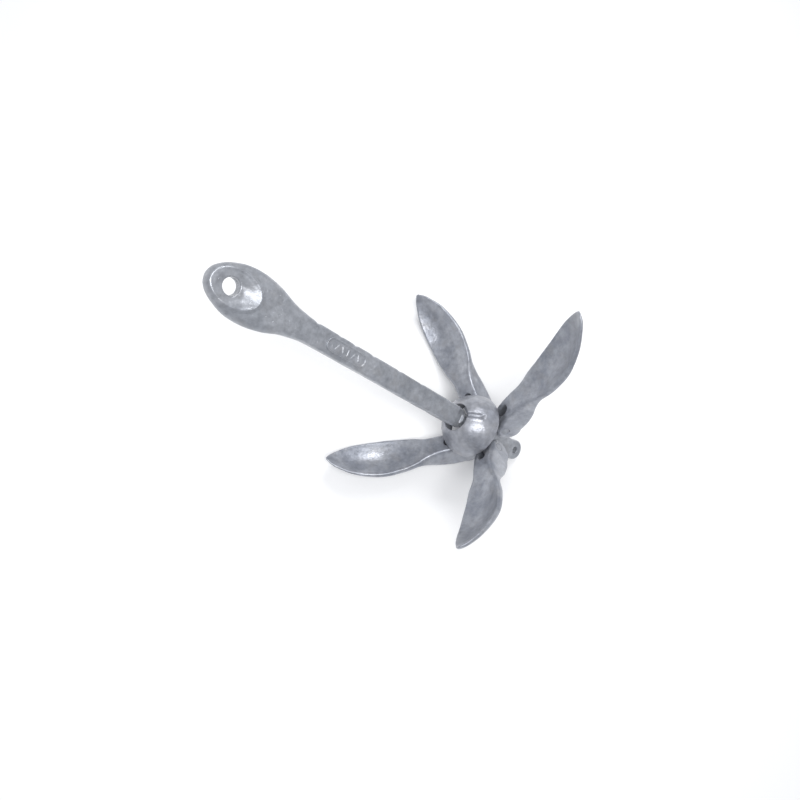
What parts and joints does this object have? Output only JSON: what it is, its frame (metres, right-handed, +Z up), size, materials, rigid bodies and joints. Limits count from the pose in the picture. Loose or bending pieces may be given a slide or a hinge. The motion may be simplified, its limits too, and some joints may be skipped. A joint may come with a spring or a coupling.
{
  "type": "folding grapnel anchor",
  "caption": "Folding grapnel anchor in galvanised cast iron: shank with rope eye, sliding domed lock collar and hinged spoon flukes, opened out and lying on its side.",
  "frame": {"origin": "on the floor, under the middle of the anchor's box as it lies opened out on its trip eye and two lower flukes", "axes": "+X along the floor, the way the crown points, away from the rope eye; +Z up; +Y across, so the shank rises towards -X in the XZ plane"},
  "size_m": [0.3116, 0.2434, 0.2317],
  "materials": {
    "galvanised_shank": "hot-dip galvanised, mottled grey",
    "galvanised_collar": "hot-dip galvanised, mottled grey",
    "galvanised_fluke": "hot-dip galvanised, mottled grey",
    "pin_steel": "galvanised steel rivet, dull"
  },
  "bodies": {
    "anchor": {"shank": "galvanised_shank", "pivot_pin_1": "pin_steel", "pivot_pin_2": "pin_steel", "pivot_pin_3": "pin_steel", "pivot_pin_4": "pin_steel"},
    "collar": {"collar": "galvanised_collar"},
    "fluke_1": {"fluke_1": "galvanised_fluke"},
    "fluke_2": {"fluke_2": "galvanised_fluke"},
    "fluke_3": {"fluke_3": "galvanised_fluke"},
    "fluke_4": {"fluke_4": "galvanised_fluke"}
  },
  "joints": [
    {"name": "collar_slide", "type": "slide", "parent": "anchor", "child": "collar", "axis": [-0.8067, 0, 0.591], "range_m": [0, 0.157]},
    {"name": "fluke_fold_1", "type": "hinge", "parent": "anchor", "child": "fluke_1", "pos_m": [0.1161, 0.01014, 0.05225], "axis": [0.3624, -0.7899, 0.4946], "range_deg": [0, 60.05]},
    {"name": "fluke_fold_2", "type": "hinge", "parent": "anchor", "child": "fluke_2", "pos_m": [0.0988, 0.01516, 0.02864], "axis": [0.4972, 0.5405, 0.6787], "range_deg": [0, 55.65]},
    {"name": "fluke_fold_3", "type": "hinge", "parent": "anchor", "child": "fluke_3", "pos_m": [0.09554, -0.01681, 0.0242], "axis": [-0.3616, 0.791, -0.4935], "range_deg": [0, 42.65]},
    {"name": "fluke_fold_4", "type": "hinge", "parent": "anchor", "child": "fluke_4", "pos_m": [0.11338, -0.02126, 0.04854], "axis": [-0.481, -0.581, -0.6565], "range_deg": [0, 53.25]}
  ],
  "couplings": [
    {"joint": "fluke_fold_1", "follows": "collar_slide", "rad_per_m": 6.67},
    {"joint": "fluke_fold_2", "follows": "collar_slide", "rad_per_m": 6.1809},
    {"joint": "fluke_fold_3", "follows": "collar_slide", "rad_per_m": 4.7357},
    {"joint": "fluke_fold_4", "follows": "collar_slide", "rad_per_m": 5.9141}
  ]
}
